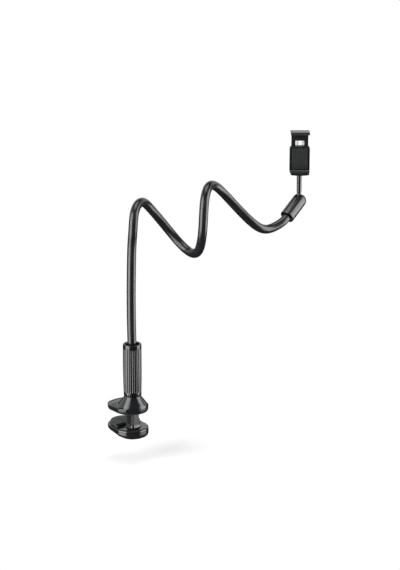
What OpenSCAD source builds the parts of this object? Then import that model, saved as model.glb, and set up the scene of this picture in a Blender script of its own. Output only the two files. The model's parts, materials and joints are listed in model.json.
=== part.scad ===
// Gooseneck phone holder: a screw clamp for a table edge, a bent flexible arm, a ball joint under a
// locking collar, and a sprung clamp for a phone. Millimetres, +Z up. The origin lies on the axis of
// the clamp's post, in the plane of the table top.

/* [Foot] */
// Direction in which the clamp reaches over the table, seen from above
clamp_turn = 127; // [0:1:180]
// Radius of both ends of the foot's oval, seen from above
foot_r = 31; // [29:0.5:36]
// Distance from the post's axis to the centre of the oval's near end
foot_near = 5; // [2:0.5:6]
// Distance from the post's axis to the centre of the oval's far end
foot_reach = 25; // [18:1:40]
// Height of the foot's side wall at the post
foot_rim_h = 7; // [5:0.5:14]
// Rise of the foot's crown above its side wall
foot_crown_h = 6.5; // [2:0.5:10]
// Slope of the foot's top down towards its far end
foot_slope = 2.5; // [0:0.5:6]
// Shoulder of the foot's neck around the grip's bearing
neck_shoulder = 1.05; // [0.6:0.05:3]
// Height of the top of the neck above the table
neck_z = 29; // [24:0.5:36]
// How sharply the foot's flare turns up to the neck
flare_power = 2.2; // [1.2:0.1:2.6]
// Thickness of the foot's rubber pad below the foot
pad_h = 2; // [1:0.5:4]

/* [Lower jaw] */
// Gap between the foot's pad and the jaw's pad as shown
clamp_gap = 24.5; // [6:0.5:30]
// Radius of both ends of the jaw's oval, seen from below
jaw_r = 31; // [29:0.5:36]
// Distance from the post's axis to the centre of the oval's far end
jaw_reach = 25; // [18:1:40]
// Depth of the jaw below its deck, at its heel
jaw_h = 20; // [18:0.5:28]
// Slope of the jaw's underside up towards its tip
jaw_slope = 10; // [4:0.5:10]
// Thickness of the jaw's pad above the deck
jaw_pad_h = 3.5; // [2:0.5:5]

/* [Post and grip] */
// Width of the post along the clamp's reach
post_w = 19.3; // [16:0.1:20]
// Thickness of the post across the reach
post_t = 15.6; // [15:0.1:17]
// Height of the top of the post as shown
post_top = 100; // [90:1:108]
// Length of the grip
grip_len = 96; // [85:1:120]
// Wall of the grip around its nut, at the lower end
grip_wall = 2.5; // [1.5:0.05:4]
// How much wider the grip is in the middle than at its lower end
grip_swell = 1.8; // [1:0.1:8]
// How much wider the grip is at its upper end than at its lower end
grip_flare = 1.4; // [0:0.1:6]
// Number of grooves around the grip
grip_grooves = 30; // [16:1:36]
// Diameter of the round cutter that makes each groove
groove_d = 2.2; // [1.2:0.1:2.6]
// Wall of the nut that draws the post up
nut_wall = 1.7; // [1.2:0.1:4]
// Height of the nut
nut_h = 20; // [14:1:26]

/* [Gooseneck] */
// Diameter of the flexible arm over its sleeve
neck_tube_d = 16; // [14:0.2:16.6]
// Wall of the sleeve
sleeve_wall = 1.7; // [1.6:0.1:3]
// Length of the steel ring around the arm's lower end
ferrule_h = 16; // [10:1:20]

/* [Ball joint] */
// Diameter of the ball
ball_d = 19; // [16:0.5:20]
// Wall of the locking collar around the ball
collar_wall = 3.3; // [3.3:0.1:6]
// Length of the collar from its mouth to the ball's centre
collar_len = 44; // [40:1:52]
// Lean of the collar from upright
collar_lean = 58; // [40:1:70]
// Compass direction of the collar, seen from above
collar_turn = 52; // [40:1:64]
// Diameter of the stem under the phone clamp
stem_d = 9.3; // [8.8:0.1:11]
// Diameter of the stem where it enters the collar
stem_neck_d = 8; // [7:0.1:8.6]
// Length from the ball's centre to the phone clamp
stem_len = 50; // [40:1:60]

/* [Phone clamp] */
// Gap between the two phone jaws as shown
phone_gap = 67; // [60:1:80]
// Width of the two phone jaws
phone_jaw_w = 34; // [33:1:44]
// Depth of the space for the phone, from the back pad to the lips
phone_room = 9.9; // [8:0.1:14]
// Width of the clamp's housing
housing_w = 36; // [36:0.5:46]
// Depth of the clamp's housing
housing_t = 14; // [13:0.5:18]
// Height of the clamp's housing
housing_h = 51; // [48:1:54]
// Diameter of the two guide rods
rod_d = 3; // [2:0.2:3.4]

/* [Hidden] */
$fn = 48;

// Clearances
run_clear = 0.1;
fit_clear = 0.05;
post_clear = 0.3;
slide_clear = 0.15;
cut = 1;

// Foot and pad
pad_recess = 1;
pad_inset = 1.5;
foot_below = 8;
tread_w = 1.2;
tread_gap = 5;
foot_z = pad_h;
rim_z = foot_z + foot_rim_h;
crown_z = rim_z + foot_crown_h;
edge_r = 1;
flare_r = foot_r - foot_near - 0.5;
key_w = 5;
key_depth = 1;
post_corner_r = 2.5;
post_reach = norm([post_w / 2 - post_corner_r, post_t / 2 - post_corner_r]) + post_corner_r;
pad_hole_r = post_reach + post_clear + 2.3;
washer_h = 1.2;
spigot_h = 8;
washer_z = neck_z + spigot_h;
nut_z = washer_z + washer_h;
nut_bore_r = post_reach + slide_clear;
bearing_r = nut_bore_r + nut_wall;
neck_r = bearing_r + neck_shoulder;

// Grip
seam = 0.3;
grip_z = neck_z + seam;
grip_top = grip_z + grip_len;
band_low = 8;
band_top = 8;
grip_edge = 1.2;
grip_r_low = bearing_r + grip_wall;
grip_r_mid = grip_r_low + grip_swell / 2;
grip_r_top = grip_r_low + grip_flare / 2;
cavity_r = bearing_r - 0.7;

// Lower jaw
deck_z = -clamp_gap - jaw_pad_h;
jaw_heel = foot_near - jaw_r;
jaw_bottom = deck_z - jaw_h;
function jaw_under(x) = jaw_bottom + (x - jaw_heel) * tan(jaw_slope);
function jaw_groove_z(x) = deck_z - 5.6 + 0.25 * (x - jaw_heel) * tan(jaw_slope);
jaw_pad_recess = 0.8;
jaw_pad_inset = 5;
boss_h = 3.8;
boss_grow = 3.2;
jaw_pad_start = post_w / 2 + boss_grow + 2;
post_z = deck_z - 8.5;
bolt_seat_z = post_z - 3;
bolt_d = 5;
bolt_head_d = 9.6;
bolt_head_h = 2.3;
bolt_washer_h = 1;
bolt_grip = 14;

// Gooseneck
core_r = neck_tube_d / 2 - sleeve_wall - run_clear;
core_low = 18;
core_top = 8;
ferrule_d = 2 * nut_bore_r - 1;
set_screw_d = 3;
set_screw_z = post_top - core_low / 2;
tube_sides = 18;
ball_at = [298.4, 127, 355.2];
sleeve_stop = 22;
ferrule_mouth = 38;
collar_dir = [sin(collar_lean) * cos(collar_turn), sin(collar_lean) * sin(collar_turn), cos(collar_lean)];

// Points that steer the arm's centre line, from the post to the collar. The last ones lie on the
// collar's axis, so the arm enters it straight.
arm_points = concat(
    [[0, 0, post_top], [0, 0, post_top + 6], [0, 0, 116], [-1, 0, 160], [-1, 0, 215], [0, 0, 265], [1, 0, 305],
    [4, -8, 334], [5, -4, 360], [10, 16, 374], [20, 38, 376], [30, 58, 360], [48, 68, 336], [68, 70, 310],
    [88, 60, 288], [106, 40, 278], [117, 16, 286], [123, -4, 310], [126, -12, 346], [127, -10, 383],
    [132, 12, 405], [142, 40, 407], [160, 58, 387], [186, 60, 357], [210, 56, 333], [228, 62, 318],
    [245, 76, 314]],
    [for (d = [57, 46, 36, 28, sleeve_stop]) ball_at - d * collar_dir]);
steps = 3;

// Head, along the collar's axis with the ball's centre at zero
ball_r = ball_d / 2;
seat_r = ball_r + run_clear;
collar_r = seat_r + collar_wall;
thread_r = collar_r - 2;
seat_low = ball_r + 2.5;
seat_top = 4;
slot_w = stem_neck_d + 1.8;
slot_over = 10;
mouth_chamfer = 2;
shank_r = 3;
shank_low = 5.5;
ball_flat = ball_r - 0.7;
stem_tip = 6;

// Phone clamp, from the stem's axis and the ball's centre: x across, y back, z up
shelf_z = stem_len + 8;
pad_under = 2.3;
jaw_groove = 0.4;
lip_h = 1.5;
jaw_top_z = shelf_z - pad_under - jaw_groove;
back_pad_t = 1.5;
back_y = -housing_t / 2 - back_pad_t;
lip_y = back_y - phone_room;
lip_t = 2.5;
front_y = lip_y - lip_t;
housing_z = stem_len;
housing_top = housing_z + housing_h;
slider_t = 7;
slider_w = housing_w - 6;
leg_w = 7;
leg_in = slider_w / 2 - leg_w;
bay_t = slider_t + 2 * slide_clear;
bay_w = slider_w + 2 * slide_clear;
bay_z = housing_z + 3.5;
cover_w = slider_w + 2.2;
cover_z = shelf_z + 1;
block_w = 13;
rib_w = 3.6;
rib_top = shelf_z + 30.5;
jaw_close = 20.5;
leg_z = bay_z + jaw_close + 0.5;
jaw_z = shelf_z + phone_gap;
bridge_z = rib_top + jaw_close + 1.5;
upper_pad_h = 1.4;
upper_arm_h = 2.2;
rod_x = leg_in + leg_w / 2;
rod_z = bay_z - 2;
rod_top = housing_top - 2.5;
spring_x = (rib_w / 2 + leg_in) / 2;
spring_d = 4.8;
spring_wire = 0.6;
pin_d = 1.5;
pin_low_z = shelf_z + 4;
pin_top_z = bridge_z + 4;
screw_d = 1.8;
screw_head_d = 3.6;
screw_z = [shelf_z + 9, shelf_z + 26];

black = "#26282a";
dark = "#333537";
rubber = "#1f2021";
steel = "#9a9da0";
brass = "#b08d4a";

// Points of a rounded rectangle, centred, with a margin all round
function rounded(w, d, r, grow = 0, n = 6) = [
    for (q = [0:3]) for (i = [0:n])
        let (a = 90 * q + 90 * i / n, sx = (q == 0 || q == 3) ? 1 : -1, sy = q < 2 ? 1 : -1)
            [sx * (w / 2 - r) + (r + grow) * cos(a), sy * (d / 2 - r) + (r + grow) * sin(a)]];

// Points of an oval with round ends, from one distance along the clamp's reach to another
function oval(r, near, far, n = 24) = concat(
    [for (i = [0:n]) let (a = -90 + 180 * i / n) [far + r * cos(a), r * sin(a)]],
    [for (i = [0:n]) let (a = 90 + 180 * i / n) [near + r * cos(a), r * sin(a)]]);

// Points of a rounded bar seen from the front, with an underside that sags by sag in the middle
function bar_outline(w, low, high, r_low, r_high, sag, in = 0, n = 5) = [
    for (i = [0:n]) let (a = -90 + 90 * i / n)
        [w / 2 - r_low + (r_low - in) * cos(a), low + sag + r_low + (r_low - in) * sin(a)],
    for (i = [0:n]) let (a = 90 * i / n)
        [w / 2 - r_high + (r_high - in) * cos(a), high - r_high + (r_high - in) * sin(a)],
    for (i = [0:n]) let (a = 90 + 90 * i / n)
        [-w / 2 + r_high + (r_high - in) * cos(a), high - r_high + (r_high - in) * sin(a)],
    for (i = [0:n]) let (a = 180 + 90 * i / n)
        [-w / 2 + r_low + (r_low - in) * cos(a), low + sag + r_low + (r_low - in) * sin(a)],
    for (i = sag > 0 ? [1:n] : []) let (x = (w / 2 - r_low) * (2 * i / (n + 1) - 1), u = x / (w / 2 - r_low))
        [x, low + in + sag * u * u]];

// A skin over a list of rings with equal counts of points. An open skin is capped at both ends. A
// looped one joins its last ring to its first, as a tube with a wall does.
module skin(rings, looped = false) {
    n = len(rings[0]);
    m = len(rings);
    sides = [for (i = [0:(looped ? m - 1 : m - 2)]) for (j = [0:n - 1])
        [i * n + j, i * n + (j + 1) % n, (i + 1) % m * n + (j + 1) % n, (i + 1) % m * n + j]];
    caps = looped ? [] : [[for (j = [n - 1:-1:0]) j], [for (j = [0:n - 1]) (m - 1) * n + j]];
    polyhedron([for (r = rings) each r], [for (f = concat(sides, caps)) [for (k = [len(f) - 1:-1:0]) f[k]]]);
}

function flat_ring(points, z) = [for (p = points) [p[0], p[1], z]];
function front_ring(points, y) = [for (p = points) [p[0], y, p[1]]];

// The arm's centre line: a smooth curve that its points pull into shape
function spline(p, i, t) =
    (pow(1 - t, 3) * p[i] + (3 * pow(t, 3) - 6 * t * t + 4) * p[i + 1]
        + (-3 * pow(t, 3) + 3 * t * t + 3 * t + 1) * p[i + 2] + pow(t, 3) * p[i + 3]) / 6;
ends = concat([2 * arm_points[0] - arm_points[1]], arm_points,
    [2 * arm_points[len(arm_points) - 1] - arm_points[len(arm_points) - 2]]);
centre = concat(
    [for (i = [0:len(ends) - 4]) for (k = [0:steps - 1]) spline(ends, i, k / steps)],
    [arm_points[len(arm_points) - 1]]);
last = len(centre) - 1;
function unit(v) = v / norm(v);
along = [for (i = [0:last]) unit(centre[min(i + 1, last)] - centre[max(i - 1, 0)])];
// Side directions carried along the line with no twist
side = [for (i = 0, s = [1, 0, 0]; i <= last; i = i + 1,
    s = i > last ? s : unit(s - (s * along[i]) * along[i])) s];
function tube_ring(i, r, slip = 0) = [for (j = [0:tube_sides - 1])
    let (a = 360 * j / tube_sides)
        centre[i] + slip * along[i] + r * (cos(a) * side[i] + sin(a) * cross(along[i], side[i]))];

module ring(r_out, r_in, h) {
    difference() {
        cylinder(h = h, r = r_out);
        translate([0, 0, -cut]) cylinder(h = h + 2 * cut, r = r_in);
    }
}

module in_clamp() { rotate([0, 0, clamp_turn]) children(); }

module in_head() { translate(ball_at) rotate([0, collar_lean, collar_turn]) rotate([0, 0, 180]) children(); }

module in_phone_clamp() { translate(ball_at) children(); }

module both_sides() {
    children();
    mirror([1, 0, 0]) children();
}

// Half of the foot's section: side wall with an eased edge, then the crown. It starts below the foot,
// which is cut level after the top is sloped.
foot_half = concat(
    [[0, foot_z - foot_below], [foot_r, foot_z - foot_below]],
    [for (i = [0:3]) let (a = 60 * i / 3) [foot_r - edge_r + edge_r * cos(a), rim_z - edge_r + edge_r * sin(a)]],
    [for (i = [0:9]) let (u = 1 - i / 9, r = foot_r - edge_r * 0.9)
        [r * u, rim_z + (crown_z - rim_z) * (1 - u * u)]]);
foot_whole = concat(foot_half, [for (i = [len(foot_half) - 2:-1:1]) [-foot_half[i][0], foot_half[i][1]]]);

module foot_plate() {
    translate([foot_near, 0, 0]) rotate([0, 0, 90]) rotate_extrude(angle = 180) polygon(foot_half);
    translate([foot_reach, 0, 0]) rotate([0, 0, -90]) rotate_extrude(angle = 180) polygon(foot_half);
    translate([foot_near, 0, 0]) rotate([90, 0, 90]) linear_extrude(foot_reach - foot_near)
        polygon(foot_whole);
}

module foot_outline(inset) {
    translate([foot_near, 0]) circle(foot_r - inset);
    translate([foot_reach, 0]) circle(foot_r - inset);
    translate([foot_near, inset - foot_r]) square([foot_reach - foot_near, 2 * (foot_r - inset)]);
}

module post_section(grow) {
    difference() {
        polygon(rounded(post_w, post_t, post_corner_r, grow));
        for (s = [-1, 1]) translate([0, s * (post_t / 2 + grow)])
            square([key_w - 2 * grow, 2 * key_depth], center = true);
    }
}

module clamp_foot() {
    flare = [for (i = [0:12]) let (u = i / 12)
        [neck_r + (flare_r - neck_r) * pow(1 - u, flare_power), rim_z + u * (neck_z - rim_z)]];
    color(black) in_clamp() difference() {
        union() {
            difference() {
                rotate([0, foot_slope, 0]) foot_plate();
                translate([-3 * foot_r, -2 * foot_r, foot_z - 3 * foot_r])
                    cube([6 * foot_r + foot_reach, 4 * foot_r, 3 * foot_r]);
            }
            rotate_extrude() polygon(concat([[0, foot_z + 1], [flare_r, foot_z + 1]], flare, [[0, neck_z]]));
            translate([0, 0, neck_z - cut]) cylinder(h = spigot_h + cut, r = bearing_r - run_clear);
        }
        translate([0, 0, foot_z - cut]) linear_extrude(washer_z) post_section(post_clear);
        translate([0, 0, foot_z - cut]) linear_extrude(cut + pad_recess) difference() {
            foot_outline(pad_inset - fit_clear);
            circle(pad_hole_r - fit_clear);
        }
    }
}

module foot_pad() {
    color(rubber) in_clamp() difference() {
        linear_extrude(pad_h + pad_recess) difference() {
            foot_outline(pad_inset);
            circle(pad_hole_r);
        }
        treads(pad_hole_r + 3, foot_reach + foot_r - pad_inset - 8, foot_r - 16, 0);
    }
}

// Grooves across a rubber pad, from one distance along the clamp's reach to another
module treads(from, to, half_w, z) {
    for (x = [from:tread_gap:to]) translate([x, 0, z]) rotate([0, 45, 0])
        cube([tread_w, 2 * half_w, tread_w], center = true);
}

module thrust_washer() {
    color(steel) translate([0, 0, washer_z]) ring(bearing_r - 2 * run_clear, nut_bore_r, washer_h);
}

module grip_sleeve() {
    function grip_r(u) = grip_r_low + (4 * grip_r_mid - 3 * grip_r_low - grip_r_top) * u
        + (2 * grip_r_low + 2 * grip_r_top - 4 * grip_r_mid) * u * u;
    skin_line = [for (i = [0:12]) let (u = (grip_edge + i / 12 * (grip_len - 2 * grip_edge)) / grip_len)
        [grip_r(u), grip_z + u * grip_len]];
    low = [grip_r(band_low / grip_len), grip_z + band_low];
    high = [grip_r(1 - band_top / grip_len), grip_top - band_top];
    color(dark) difference() {
        rotate_extrude() polygon(concat([[bearing_r, grip_z], [grip_r_low - 0.4, grip_z]], skin_line,
            [[grip_r_top - grip_edge, grip_top], [cavity_r + 1, grip_top], [cavity_r, grip_top - 1.5],
            [cavity_r, nut_z + nut_h], [bearing_r, nut_z + nut_h]]));
        for (i = [0:grip_grooves - 1]) rotate([0, 0, (i + 0.5) * 360 / grip_grooves])
            translate([low[0] + 0.45, 0, low[1]]) rotate([0, atan((high[0] - low[0]) / (high[1] - low[1])), 0])
                cylinder(h = high[1] - low[1], d = groove_d, $fn = 24);
    }
}

module drive_nut() {
    color(brass) translate([0, 0, nut_z]) ring(bearing_r - fit_clear, nut_bore_r, nut_h);
}

module lower_jaw() {
    wall = [[0, 8], [0.04, 5.2], [0.13, 2.6], [0.25, 1], [0.39, 0], [1, 0]];
    lip = [[-5, 0.6, 0.22], [-4.8, 2, 0.2], [-3.2, 2, 0.12], [-3, 0.5, 0.1], [-2.6, 0.1, 0.08], [-0.2, 0.1, 0],
        [0.5, 0.8, 0], [0.6, 1.4, 0], [0.6, 3, 0], [0, 3.6, 0]];
    boss = [[deck_z - 1, boss_grow + 0.6], [deck_z + 0.2, boss_grow - 0.4], [deck_z + 1.5, boss_grow - 1.5],
        [deck_z + boss_h - 0.4, 1.2], [deck_z + boss_h, 0.9]];
    color(black) in_clamp() difference() {
        union() {
            skin(concat(
                [for (l = wall) [for (q = oval(jaw_r - l[1], foot_near, jaw_reach))
                    [q[0], q[1], (1 - l[0]) * jaw_under(q[0]) + l[0] * jaw_groove_z(q[0])]]],
                [for (l = lip) [for (q = oval(jaw_r - l[1], foot_near, jaw_reach))
                    [q[0], q[1], deck_z + l[0] + l[2] * (q[0] - jaw_heel) * tan(jaw_slope)]]]));
            skin([for (l = boss) flat_ring(rounded(post_w, post_t, post_corner_r, l[1]), l[0])]);
        }
        translate([0, 0, post_z]) linear_extrude(deck_z - post_z + boss_h + cut)
            polygon(rounded(post_w, post_t, post_corner_r, fit_clear));
        translate([0, 0, jaw_bottom - cut]) cylinder(h = post_z - jaw_bottom + 2 * cut, d = bolt_d + 0.4);
        translate([0, 0, jaw_bottom - cut]) cylinder(h = bolt_seat_z - jaw_bottom + cut, d = bolt_head_d + 1);
        translate([0, 0, deck_z - jaw_pad_recess]) linear_extrude(jaw_pad_recess + cut) pad_outline(fit_clear);
    }
}

module pad_outline(grow) {
    intersection() {
        polygon(oval(jaw_r - jaw_pad_inset + grow, foot_near, jaw_reach));
        translate([jaw_pad_start - grow, -jaw_r]) square([jaw_reach + jaw_r, 2 * jaw_r]);
    }
}

module jaw_pad() {
    color(rubber) in_clamp() difference() {
        translate([0, 0, deck_z - jaw_pad_recess])
            linear_extrude(jaw_pad_recess + jaw_pad_h) pad_outline(0);
        treads(jaw_pad_start + 5, jaw_reach + jaw_r - jaw_pad_inset - 7, jaw_r - jaw_pad_inset - 14,
            deck_z + jaw_pad_h);
    }
}

module clamp_post() {
    color(dark) in_clamp() difference() {
        union() {
            translate([0, 0, deck_z + boss_h]) linear_extrude(post_top - deck_z - boss_h) post_section(0);
            translate([0, 0, post_z]) linear_extrude(deck_z + boss_h - post_z)
                polygon(rounded(post_w, post_t, post_corner_r));
        }
        translate([0, 0, post_top - core_low]) cylinder(h = core_low + cut, r = core_r + fit_clear);
        translate([0, 0, post_z - cut]) cylinder(h = bolt_grip + cut, d = bolt_d + 2 * fit_clear);
        for (s = [-1, 1]) translate([0, 0, set_screw_z]) rotate([0, s * 90, 0])
            cylinder(h = post_w, d = set_screw_d + 2 * fit_clear);
    }
}

module post_bolt() {
    head_z = bolt_seat_z - bolt_washer_h - bolt_head_h;
    color(steel) difference() {
        union() {
            translate([0, 0, head_z]) cylinder(h = bolt_head_h, r1 = bolt_head_d / 2 - 0.8, r2 = bolt_head_d / 2);
            translate([0, 0, head_z + bolt_head_h])
                cylinder(h = post_z + bolt_grip - 1 - head_z - bolt_head_h, d = bolt_d);
        }
        translate([0, 0, head_z - cut]) cylinder(h = cut + 1.6, d = 3.5, $fn = 6);
    }
}

module post_washer() {
    color(steel) translate([0, 0, bolt_seat_z - bolt_washer_h])
        ring(bolt_head_d / 2 + 0.2, bolt_d / 2 + 0.2, bolt_washer_h);
}

module post_screws() {
    color(steel) in_clamp() for (s = [-1, 1]) translate([0, 0, set_screw_z]) rotate([0, s * 90, 0])
        translate([0, 0, core_r + fit_clear]) cylinder(h = post_w / 2 - core_r - 0.3, d = set_screw_d);
}

module lower_ferrule() {
    color(steel) translate([0, 0, post_top]) ring(ferrule_d / 2, neck_tube_d / 2 + run_clear, ferrule_h);
}

module gooseneck_sleeve() {
    outer = [for (i = [0:last]) tube_ring(i, neck_tube_d / 2)];
    inner = [for (i = [last:-1:0]) tube_ring(i, neck_tube_d / 2 - sleeve_wall)];
    color(black) skin(concat(outer, inner), looped = true);
}

module gooseneck_core() {
    color(steel) skin(concat([tube_ring(0, core_r, -core_low)], [for (i = [0:last]) tube_ring(i, core_r)],
        [tube_ring(last, core_r, core_top)]));
}

module upper_ferrule() {
    color(steel) in_head() translate([0, 0, -ferrule_mouth]) difference() {
        cylinder(h = ferrule_mouth - seat_low, r = thread_r - run_clear);
        translate([0, 0, -cut]) cylinder(h = ferrule_mouth - sleeve_stop + cut, r = neck_tube_d / 2 + run_clear);
        translate([0, 0, -cut])
            cylinder(h = ferrule_mouth - sleeve_stop + core_top + 2 * cut, r = core_r + run_clear);
    }
}

module ball_seat() {
    color("#d8d6cf") in_head() difference() {
        translate([0, 0, -seat_low]) cylinder(h = seat_low - seat_top, r = thread_r - run_clear);
        sphere(seat_r);
    }
}

module collar_section() {
    difference() {
        union() {
            translate([0, mouth_chamfer / 2 - collar_len]) square([collar_r, collar_len - mouth_chamfer / 2]);
            polygon([[0, -collar_len], [collar_r - mouth_chamfer / 2, -collar_len],
                [collar_r, mouth_chamfer / 2 - collar_len], [0, mouth_chamfer / 2 - collar_len]]);
            intersection() {
                circle(collar_r);
                square(collar_r);
            }
        }
        polygon([[-cut, -collar_len - cut], [thread_r + mouth_chamfer / 2, -collar_len - cut],
            [thread_r + mouth_chamfer / 2, -collar_len], [thread_r, mouth_chamfer - collar_len],
            [thread_r, -1], [-cut, -1]]);
        circle(seat_r);
        translate([-cut, -collar_len]) square([cut, 2 * collar_len]);
    }
}

module locking_collar() {
    color(dark) in_head() difference() {
        difference() {
            rotate_extrude() collar_section();
            rotate([90, 0, 0]) rotate_extrude(angle = 90 + slot_over)
                translate([0, -slot_w / 2]) square([2 * collar_r, slot_w]);
        }
        for (a = [-slot_over, 90]) rotate([0, a, 0]) cylinder(h = 2 * collar_r, d = slot_w);
    }
}

module ball() {
    color(steel) in_phone_clamp() difference() {
        sphere(ball_r);
        translate([0, 0, ball_flat]) cylinder(h = ball_r, r = ball_r);
        translate([0, 0, -shank_low - 0.5]) cylinder(h = ball_d, r = shank_r + fit_clear);
    }
}

module ball_stem() {
    color(black) in_phone_clamp() rotate_extrude() polygon([[0, -shank_low], [shank_r, -shank_low],
        [shank_r, ball_flat], [stem_neck_d / 2, ball_flat], [stem_neck_d / 2, ball_r + 5],
        [stem_d / 2 - 0.25, ball_r + 8], [stem_d / 2, stem_len - 2], [stem_d / 2, stem_len],
        [shank_r, stem_len], [shank_r, stem_len + stem_tip], [0, stem_len + stem_tip]]);
}

module stem_insert() {
    color(brass) in_phone_clamp() translate([0, 0, stem_len]) ring(stem_d / 2, shank_r + fit_clear, stem_tip);
}

module clamp_housing() {
    body = [[housing_t / 2, 3], [housing_t / 2 - 0.4, 1.5], [housing_t / 2 - 1.4, 0.5], [housing_t / 2 - 3, 0],
        [0.4 - housing_t / 2, 0], [-housing_t / 2, 0.4]];
    arm = [[0, 0], [front_y + 1.1, 0], [front_y + 0.4, 0.5], [front_y, 1.2]];
    color(black) in_phone_clamp() difference() {
        union() {
            skin([for (l = body)
                front_ring(bar_outline(housing_w, housing_z, housing_top, 5, 5, 0.8, l[1]), l[0])]);
            skin([for (l = arm)
                front_ring(bar_outline(phone_jaw_w, housing_z, jaw_top_z, 3.2, 1.3, 0.8, l[1]), l[0])]);
        }
        difference() {
            translate([-bay_w / 2, -bay_t / 2, bay_z]) cube([bay_w, bay_t, housing_h]);
            translate([-block_w / 2, -bay_t, bay_z - cut]) cube([block_w, 2 * bay_t, cover_z - bay_z + cut]);
            translate([-rib_w / 2, -bay_t, bay_z]) cube([rib_w, 2 * bay_t, rib_top - bay_z]);
        }
        translate([-cover_w / 2 - fit_clear, -housing_t / 2 - cut, cover_z - fit_clear])
            cube([cover_w + 2 * fit_clear, (housing_t - bay_t) / 2 + cut, housing_h]);
        translate([0, 0, housing_z - cut]) cylinder(h = stem_tip + cut + 0.3, d = stem_d + 2 * fit_clear);
        both_sides() translate([rod_x, 0, rod_z]) cylinder(h = bay_z - rod_z + cut, d = rod_d + 2 * fit_clear);
        both_sides() translate([spring_x, 0, pin_low_z]) rotate([-90, 0, 0])
            cylinder(h = housing_t / 2 - 1.5, d = pin_d + 2 * fit_clear);
        for (z = screw_z) translate([0, -housing_t / 2, z]) rotate([-90, 0, 0])
            cylinder(h = housing_t - 3.5, d = screw_d + 2 * fit_clear);
    }
}

module front_cover() {
    color(dark) in_phone_clamp() difference() {
        translate([-cover_w / 2, -housing_t / 2, cover_z])
            cube([cover_w, (housing_t - bay_t) / 2, housing_top - cover_z]);
        for (z = screw_z) translate([0, -housing_t / 2 - cut, z]) rotate([-90, 0, 0]) {
            cylinder(h = housing_t, d = screw_d + 2 * fit_clear);
            cylinder(h = cut + 1.5, d = screw_head_d + 0.3);
        }
        both_sides() translate([spring_x, -bay_t / 2 - 1.5, pin_low_z]) rotate([-90, 0, 0])
            cylinder(h = bay_t, d = pin_d + 2 * fit_clear);
    }
}

module front_pad() {
    pad_w = housing_w - 8;
    pad_z = [cover_z + 1, housing_top - 4];
    color(rubber) in_phone_clamp() translate([0, -housing_t / 2, (pad_z[0] + pad_z[1]) / 2])
        difference() {
            rotate([90, 0, 0]) linear_extrude(back_pad_t) polygon(rounded(pad_w, pad_z[1] - pad_z[0], 3));
            for (k = [-3:3]) translate([0, -back_pad_t, k * tread_gap - 0.5]) rotate([45, 0, 0])
                cube([pad_w - 8, tread_w, tread_w], center = true);
        }
}

// A rubber liner: a plate on the jaw and a lip over its front edge
module liner(low, lip) {
    translate([-phone_jaw_w / 2, lip_y, low])
        cube([phone_jaw_w, back_y - 0.1 - lip_y, pad_under]);
    translate([0, lip_y, 0]) rotate([90, 0, 0]) linear_extrude(lip_t)
        polygon(bar_outline(phone_jaw_w, low, shelf_z + lip, 0.6, 1.2, 0));
}

module lower_jaw_pad() {
    neck_in = 2;
    color(rubber) in_phone_clamp() {
        liner(shelf_z - pad_under, lip_h);
        translate([-phone_jaw_w / 2 + neck_in, front_y + neck_in, jaw_top_z])
            cube([phone_jaw_w - 2 * neck_in, back_y - 0.1 - front_y - neck_in, jaw_groove]);
    }
}

module guide_rods() {
    color(steel) in_phone_clamp() both_sides() translate([rod_x, 0, rod_z])
        cylinder(h = rod_top - rod_z, d = rod_d);
}

module spring_pins() {
    color(steel) in_phone_clamp() both_sides() translate([spring_x, -bay_t / 2 - 1.4, pin_low_z])
        rotate([-90, 0, 0]) cylinder(h = bay_t / 2 + 1.4 + housing_t / 2 - 1.6, d = pin_d);
}

module cover_screws() {
    color(steel) in_phone_clamp() for (z = screw_z) translate([0, -housing_t / 2, z]) rotate([-90, 0, 0]) {
        translate([0, 0, 0.2]) cylinder(h = 1.3, d = screw_head_d);
        translate([0, 0, 1.4]) cylinder(h = housing_t - 5.4, d = screw_d);
    }
}

module springs() {
    low = pin_low_z + pin_d / 2 + 0.15;
    color("#b9bcbe") in_phone_clamp() both_sides() translate([spring_x, 0, low])
        ring(spring_d / 2, spring_d / 2 - spring_wire, pin_top_z - pin_d / 2 - 0.15 - low);
}

module upper_jaw() {
    arm = [[slider_t / 2, 0.5], [slider_t / 2 - 1, 0], [front_y + 1, 0], [front_y + 0.5, 0.3], [front_y, 0.8]];
    top = jaw_z + upper_pad_h + upper_arm_h;
    color(dark) in_phone_clamp() difference() {
        union() {
            skin([for (l = arm)
                front_ring(bar_outline(phone_jaw_w, jaw_z + upper_pad_h, top, 0.9, 1.2, 0, l[1]), l[0])]);
            translate([-slider_w / 2, -slider_t / 2, leg_z]) cube([slider_w, slider_t, top - 1 - leg_z]);
        }
        translate([-leg_in, -slider_t, leg_z - cut]) cube([2 * leg_in, 2 * slider_t, bridge_z - leg_z + cut]);
        both_sides() {
            translate([spring_x, 0, bridge_z - cut]) cylinder(h = pin_top_z - bridge_z + 3, d = spring_d + 0.8);
            translate([spring_x, -slider_t, pin_top_z]) rotate([-90, 0, 0])
                cylinder(h = 2 * slider_t, d = pin_d + 2 * fit_clear);
            translate([rod_x, 0, leg_z - cut])
                cylinder(h = rod_top - leg_z + jaw_close + 2 + cut, d = rod_d + 2 * fit_clear);
        }
    }
}

module upper_jaw_pad() {
    color(rubber) in_phone_clamp() {
        translate([-phone_jaw_w / 2 + 0.5, lip_y, jaw_z])
            cube([phone_jaw_w - 1, -slider_t / 2 - 0.1 - lip_y, upper_pad_h]);
        translate([0, lip_y, 0]) rotate([90, 0, 0]) linear_extrude(lip_t)
            polygon(bar_outline(phone_jaw_w, jaw_z - lip_h, jaw_z + upper_pad_h, 0.9, 0.3, 0));
    }
}

module slider_pins() {
    color(steel) in_phone_clamp() both_sides() translate([spring_x, -slider_t / 2, pin_top_z])
        rotate([-90, 0, 0]) cylinder(h = slider_t, d = pin_d);
}

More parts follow.
